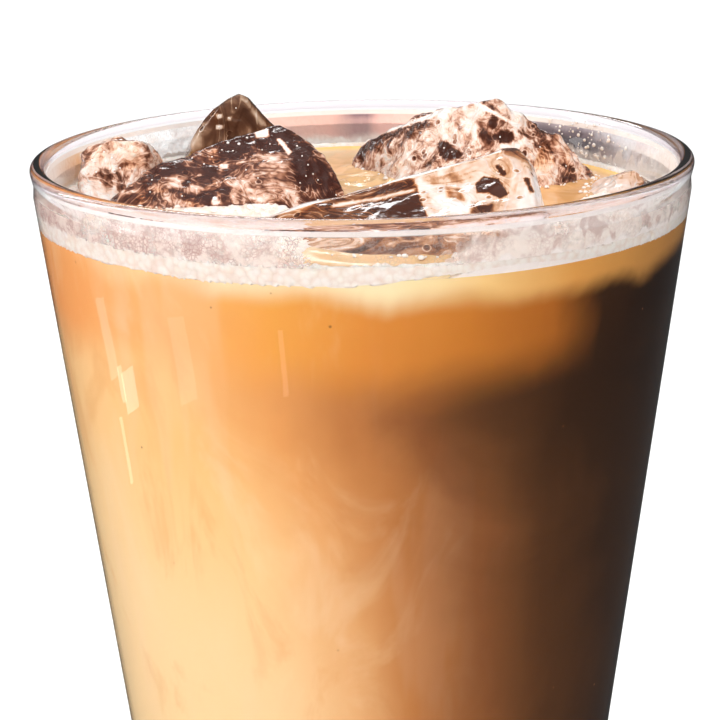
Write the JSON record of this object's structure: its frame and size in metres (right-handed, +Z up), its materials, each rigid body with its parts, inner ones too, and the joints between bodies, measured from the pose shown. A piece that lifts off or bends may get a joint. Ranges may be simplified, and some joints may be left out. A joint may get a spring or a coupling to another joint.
{
  "type": "iced latte in a glass",
  "caption": "Iced latte in a clear straight tapered tumbler, filled almost to the rim, with milk foam along the wall and half-melted ice standing out of the drink.",
  "frame": {"origin": "centre of the glass at the underside of its foot", "axes": "+Z up along the axis of the glass, -Y towards the side that the picture shows"},
  "size_m": [0.089, 0.089, 0.1537],
  "materials": {
    "clear_glass": "clear, polished",
    "latte": "opaque milky coffee, wet surface",
    "milk_foam": "fine wet bubbles",
    "ice": "wet, partly frosted, tinted by the drink"
  },
  "bodies": {
    "root": {"glass": "clear_glass", "latte": "latte", "foam": "milk_foam", "ice_wedge": "ice", "ice_peak": "ice", "ice_front": "ice", "ice_plate": "ice", "ice_left": "ice", "ice_right": "ice"}
  },
  "joints": []
}
